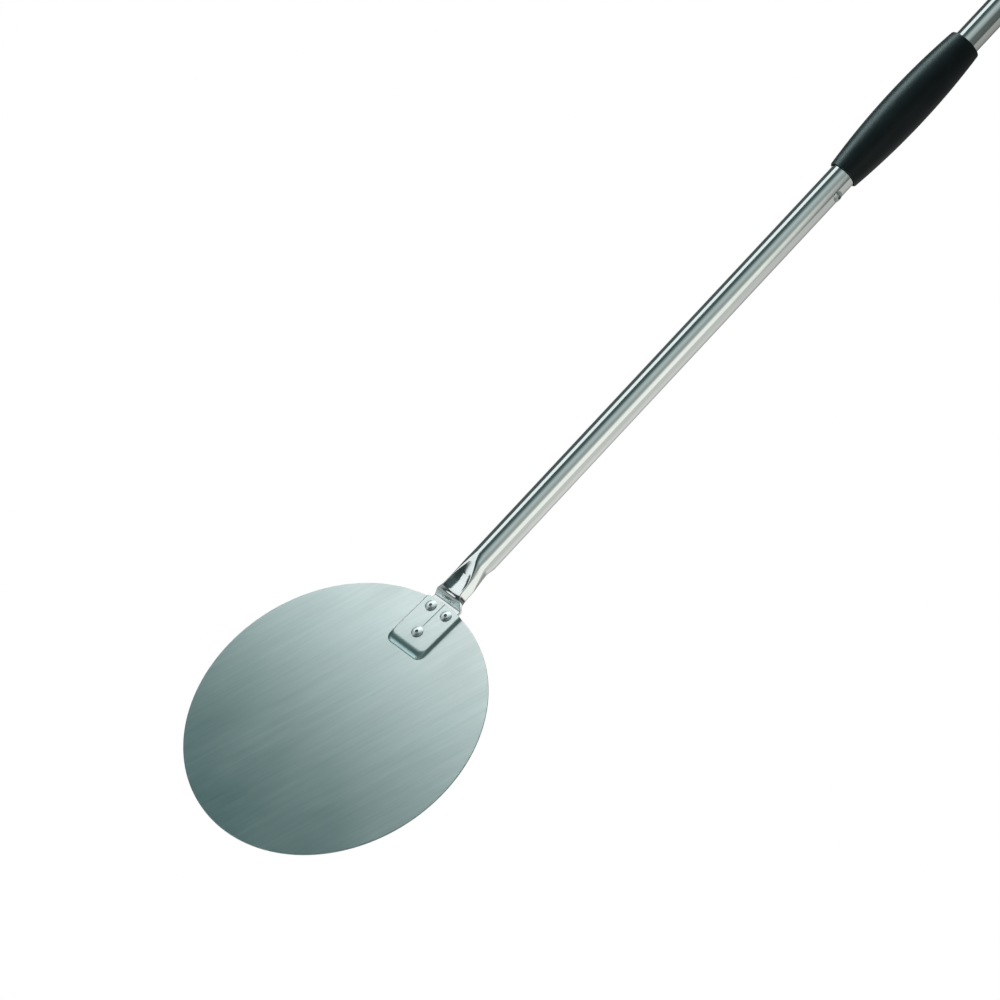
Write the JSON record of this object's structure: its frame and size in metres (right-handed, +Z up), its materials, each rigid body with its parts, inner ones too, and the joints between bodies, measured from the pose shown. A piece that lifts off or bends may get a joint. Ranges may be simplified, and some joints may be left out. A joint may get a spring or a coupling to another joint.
{
  "type": "pizza peel",
  "caption": "Round steel turning peel: thin brushed blade with a riveted pocket, long steel tube, sliding and turning barrel grip, fixed end grip and hanging eye.",
  "frame": {"origin": "centre of the round blade, on its underside", "axes": "+Z is up out of the blade's top face and +X runs from the blade's centre towards the handle, which rises 4 degrees from it"},
  "size_m": [1.3972, 0.2, 0.0996],
  "materials": {
    "brushed_blade": "long straight brush lines",
    "polished_tube": "polished stainless steel",
    "rivet_steel": "satin",
    "mandrel_steel": "dull, broken end",
    "black_grip": "fine moulded grain, slight sheen",
    "black_cap": "smooth moulded",
    "bush_plastic": "smooth, low friction"
  },
  "bodies": {
    "peel": {"blade": "brushed_blade", "handle_tube": "polished_tube", "blade_rivet_front": "rivet_steel", "blade_rivet_rear_left": "rivet_steel", "blade_rivet_rear_right": "rivet_steel", "stop_rivet": "rivet_steel", "end_grip_rivet": "rivet_steel", "blade_rivet_mandrel_front": "mandrel_steel", "blade_rivet_mandrel_rear_left": "mandrel_steel", "blade_rivet_mandrel_rear_right": "mandrel_steel", "stop_rivet_mandrel": "mandrel_steel", "end_grip_rivet_mandrel": "mandrel_steel", "end_grip": "black_grip", "hanging_cap": "black_cap"},
    "slide_bushes": {"slide_bush_front": "bush_plastic", "slide_bush_rear": "bush_plastic"},
    "sliding_grip": {"sliding_grip": "black_grip"}
  },
  "joints": [
    {"name": "grip_slide", "type": "slide", "parent": "peel", "child": "slide_bushes", "axis": [0.9976, 0, 0.0698], "range_m": [-0.0119, 0.5509]},
    {"name": "grip_turn", "type": "hinge", "parent": "slide_bushes", "child": "sliding_grip", "pos_m": [0.53893, 0, 0.03594], "axis": [0.9976, 0, 0.0698], "continuous": true}
  ]
}
